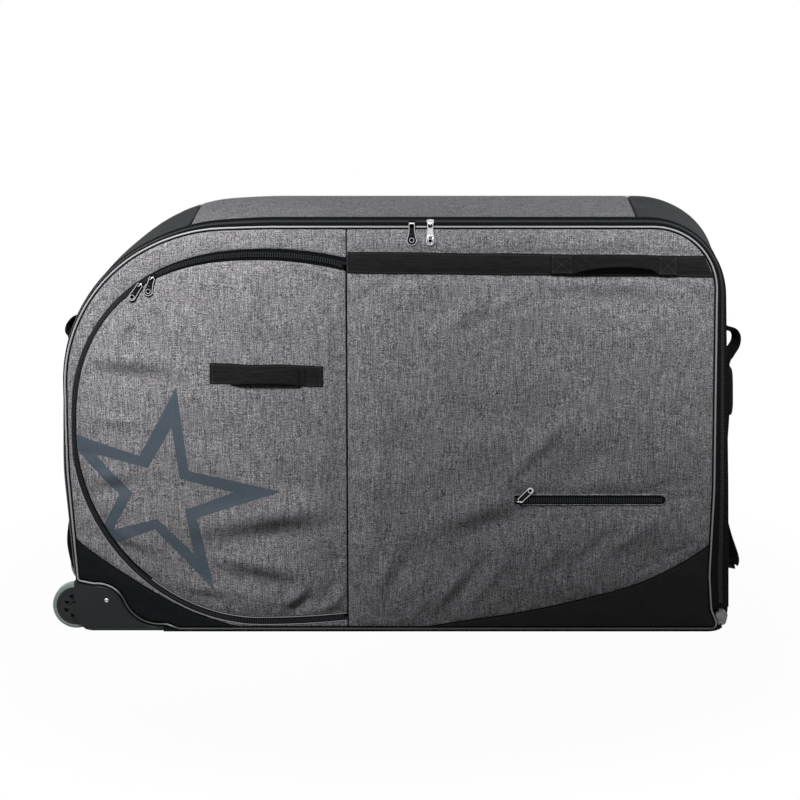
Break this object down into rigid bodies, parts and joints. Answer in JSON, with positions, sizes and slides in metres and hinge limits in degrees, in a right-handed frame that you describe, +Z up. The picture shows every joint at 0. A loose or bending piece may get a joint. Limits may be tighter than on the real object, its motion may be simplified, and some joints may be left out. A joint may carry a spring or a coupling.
{
  "type": "bike travel case",
  "caption": "Soft padded travel case for a bicycle, standing on its base, with a zipped front lid, a round access flap, hauling straps at both ends and wheels at one corner.",
  "frame": {"origin": "on the underside of the base, below the middle of the case, on the floor", "axes": "+X along the case away from its wheels, +Y from the lid to the rear panel, +Z up"},
  "size_m": [1.3271, 0.3552, 0.794],
  "materials": {
    "grey_cloth": "padded melange polyester canvas, matt",
    "black_cloth": "padded coated polyester cloth, dull sheen",
    "black_webbing": "woven polyester webbing",
    "zip_tape": "woven zip tape",
    "piping": "pale grey piping cord, satin",
    "moulding": "black moulded polypropylene, satin",
    "tread": "translucent grey polyurethane",
    "bright_metal": "bright nickel plate",
    "dark_metal": "dark gunmetal plate",
    "board": "dark plastic board"
  },
  "bodies": {
    "case": {"top_wall": "grey_cloth", "left_end_wall": "black_cloth", "right_end_wall": "black_cloth", "base_panel": "black_cloth", "base_board": "board", "rear_panel": "grey_cloth", "rear_left_corner": "black_cloth", "rear_right_corner": "black_cloth", "rear_piping": "piping", "case_zip_tape": "zip_tape", "zip_end_tab": "grey_cloth", "lid_hinge_tape": "zip_tape", "left_end_strap": "black_webbing", "right_end_strap": "black_webbing", "right_end_grip": "black_webbing", "frame_strap_lower": "black_webbing", "frame_strap_upper": "black_webbing", "front_housing": "moulding", "rear_housing": "moulding", "front_axle": "dark_metal", "rear_axle": "dark_metal", "front_rivet": "bright_metal", "rear_rivet": "bright_metal"},
    "lid": {"lid_right_panel": "grey_cloth", "lid_right_corner": "black_cloth", "lid_left_panel": "grey_cloth", "lid_left_corner": "black_cloth", "lid_piping": "piping", "lid_zip_tape": "zip_tape", "flap_zip_tape_lid": "zip_tape", "wheel_pocket_wall": "black_cloth", "wheel_pocket_divider": "black_cloth", "front_band": "black_webbing", "front_band_handle": "black_webbing", "pocket_zip_tape": "zip_tape", "pocket_pouch": "black_cloth"},
    "flap": {"access_flap": "grey_cloth", "flap_zip_tape": "zip_tape", "flap_patch": "black_webbing", "flap_handle": "black_webbing"},
    "main_slider_left": {"main_slider_left": "dark_metal"},
    "main_puller_left": {"main_slider_left_puller": "dark_metal"},
    "main_slider_right": {"main_slider_right": "bright_metal"},
    "main_puller_right": {"main_slider_right_puller": "bright_metal"},
    "flap_slider_high": {"flap_slider_high": "dark_metal"},
    "flap_puller_high": {"flap_slider_high_puller": "dark_metal"},
    "flap_slider_low": {"flap_slider_low": "dark_metal"},
    "flap_puller_low": {"flap_slider_low_puller": "dark_metal"},
    "pocket_slider": {"pocket_slider": "dark_metal"},
    "pocket_puller": {"pocket_slider_puller": "dark_metal"},
    "front_wheel": {"front_wheel_core": "moulding", "front_wheel_tread": "tread", "front_wheel_bearing_outer": "bright_metal", "front_wheel_bearing_inner": "bright_metal"},
    "rear_wheel": {"rear_wheel_core": "moulding", "rear_wheel_tread": "tread", "rear_wheel_bearing_outer": "bright_metal", "rear_wheel_bearing_inner": "bright_metal"}
  },
  "joints": [
    {"name": "lid_hinge", "type": "hinge", "parent": "case", "child": "lid", "pos_m": [0, -0.16, 0.003], "axis": [1, 0, 0], "range_deg": [0, 85]},
    {"name": "flap_hinge", "type": "hinge", "parent": "lid", "child": "flap", "pos_m": [-0.085, -0.16, 0.377], "axis": [0, 0, 1], "range_deg": [0, 140]},
    {"name": "main_left_run", "type": "slide", "parent": "lid", "child": "main_slider_left", "axis": [-1, 0, 0], "range_m": [0, 0.33]},
    {"name": "main_left_swing", "type": "hinge", "parent": "main_slider_left", "child": "main_puller_left", "pos_m": [0.035, -0.1618, 0.786], "axis": [-1, 0, 0], "range_deg": [0, 110]},
    {"name": "main_right_run", "type": "slide", "parent": "lid", "child": "main_slider_right", "axis": [1, 0, 0], "range_m": [0, 0.37]},
    {"name": "main_right_swing", "type": "hinge", "parent": "main_slider_right", "child": "main_puller_right", "pos_m": [0.069, -0.1618, 0.786], "axis": [-1, 0, 0], "range_deg": [0, 110]},
    {"name": "flap_high_run", "type": "hinge", "parent": "flap", "child": "flap_slider_high", "pos_m": [-0.27672, -0.1626, 0.36191], "axis": [0, 1, 0], "range_deg": [0, 19]},
    {"name": "flap_high_swing", "type": "hinge", "parent": "flap_slider_high", "child": "flap_puller_high", "pos_m": [-0.44317, -0.167, 0.68716], "axis": [-0.96, 0, 0.28], "range_deg": [0, 110]},
    {"name": "flap_low_run", "type": "hinge", "parent": "flap", "child": "flap_slider_low", "pos_m": [-0.31788, -0.1626, 0.44413], "axis": [0, -1, 0], "range_deg": [0, 25]},
    {"name": "flap_low_swing", "type": "hinge", "parent": "flap_slider_low", "child": "flap_puller_low", "pos_m": [-0.46522, -0.167, 0.67436], "axis": [-0.8336, 0, 0.5524], "range_deg": [0, 110]},
    {"name": "pocket_run", "type": "slide", "parent": "lid", "child": "pocket_slider", "axis": [1, 0, 0], "range_m": [0, 0.255]},
    {"name": "pocket_swing", "type": "hinge", "parent": "pocket_slider", "child": "pocket_puller", "pos_m": [0.238, -0.1688, 0.261], "axis": [0.7121, 0, -0.7021], "range_deg": [0, 110]},
    {"name": "front_wheel_spin", "type": "hinge", "parent": "case", "child": "front_wheel", "pos_m": [-0.6045, -0.134, 0.0465], "axis": [0, 1, 0], "continuous": true},
    {"name": "rear_wheel_spin", "type": "hinge", "parent": "case", "child": "rear_wheel", "pos_m": [-0.6045, 0.134, 0.0465], "axis": [0, 1, 0], "continuous": true}
  ]
}
